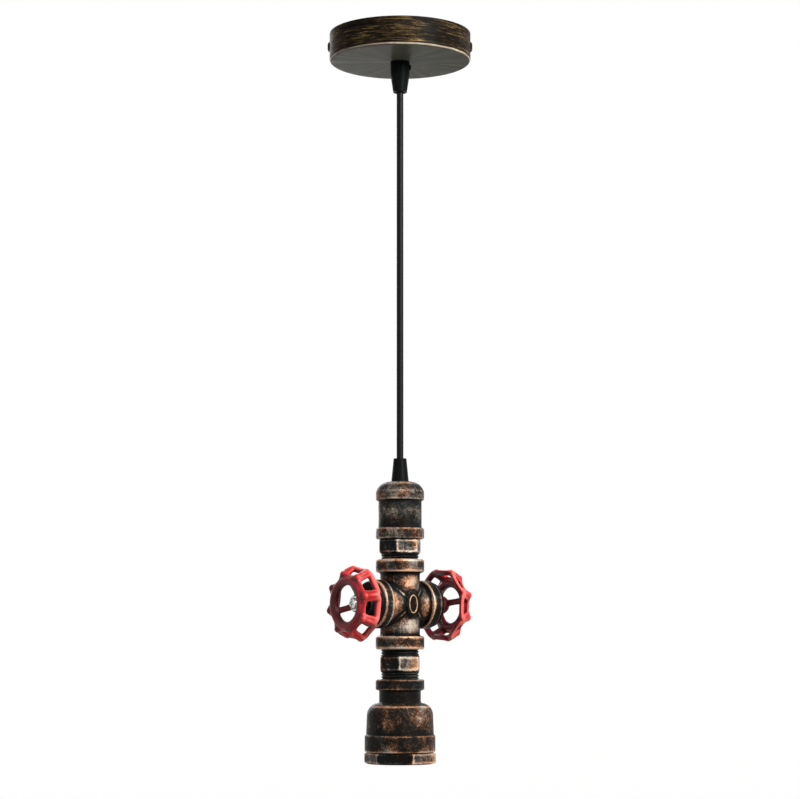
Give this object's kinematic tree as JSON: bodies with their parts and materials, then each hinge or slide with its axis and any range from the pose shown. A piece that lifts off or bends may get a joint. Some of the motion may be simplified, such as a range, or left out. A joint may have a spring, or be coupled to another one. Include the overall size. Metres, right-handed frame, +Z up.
{
  "type": "pendant light",
  "caption": "Pendant light made of pipe fittings: ceiling cup, cord, coupling, nipples and a cross with valve hand wheels, and a bell reducer holding a screw lampholder.",
  "frame": {"origin": "on the ceiling, at the top face of the bracket, where the cord's centre line meets it", "axes": "+Z up along the cord; X along the line about which both valve wheels turn; the lamp hangs below the origin"},
  "size_m": [0.1, 0.1, 0.512],
  "materials": {
    "zinc_steel": "zinc-plated, satin",
    "brushed_bronze": "dark antique bronze, brushed round the side",
    "terminal_plastic": "moulded, satin",
    "black_plastic": "moulded, satin",
    "black_cord": "smooth, satin",
    "brown_core": "smooth",
    "blue_core": "smooth",
    "aged_bronze": "cast, blackened and wiped to bronze on its high places",
    "holder_plastic": "moulded, satin",
    "nickel_shell": "rolled sheet, bright",
    "contact_brass": "stamped sheet",
    "red_paint": "glossy over a casting",
    "bright_steel": "bright zinc"
  },
  "bodies": {
    "canopy": {"ceiling_bracket": "zinc_steel", "canopy_cup": "brushed_bronze", "canopy_side_screws": "brushed_bronze", "terminal_block": "terminal_plastic", "terminal_clamp_screws": "zinc_steel", "terminal_fixing_screw": "zinc_steel", "upper_cord_grip": "black_plastic", "upper_grip_screw": "black_plastic", "upper_grip_nut": "black_plastic", "cord_coil": "black_cord", "cord_in_grip": "black_cord", "canopy_live_core": "brown_core", "canopy_neutral_core": "blue_core"},
    "lamp": {"hanging_cord": "black_cord", "lower_cord_grip": "black_plastic", "lower_grip_nut": "black_plastic", "cord_in_lamp": "black_cord", "top_coupling": "aged_bronze", "upper_hex_nipple": "aged_bronze", "cross_fitting": "aged_bronze", "left_side_plug": "aged_bronze", "right_side_plug": "aged_bronze", "lower_hex_nipple": "aged_bronze", "bell_reducer": "aged_bronze", "mouth_bushing": "aged_bronze", "lampholder_body": "holder_plastic", "lamp_screw_shell": "nickel_shell", "centre_contact": "contact_brass", "lampholder_screws": "zinc_steel", "lamp_live_core": "brown_core", "lamp_neutral_core": "blue_core"},
    "left_wheel": {"left_hand_wheel": "red_paint", "left_valve_stem": "aged_bronze", "left_wheel_washer": "bright_steel", "left_wheel_screw": "bright_steel"},
    "right_wheel": {"right_hand_wheel": "red_paint", "right_valve_stem": "aged_bronze", "right_wheel_washer": "bright_steel", "right_wheel_screw": "bright_steel"}
  },
  "joints": [
    {"name": "swing", "type": "hinge", "parent": "canopy", "child": "lamp", "pos_m": [0, 0, -0.04], "axis": [0, 1, 0], "range_deg": [-20, 20]},
    {"name": "left_wheel_turn", "type": "hinge", "parent": "lamp", "child": "left_wheel", "pos_m": [-0.04, 0, -0.403], "axis": [-1, 0, 0], "continuous": true},
    {"name": "right_wheel_turn", "type": "hinge", "parent": "lamp", "child": "right_wheel", "pos_m": [0.04, 0, -0.403], "axis": [1, 0, 0], "continuous": true}
  ]
}
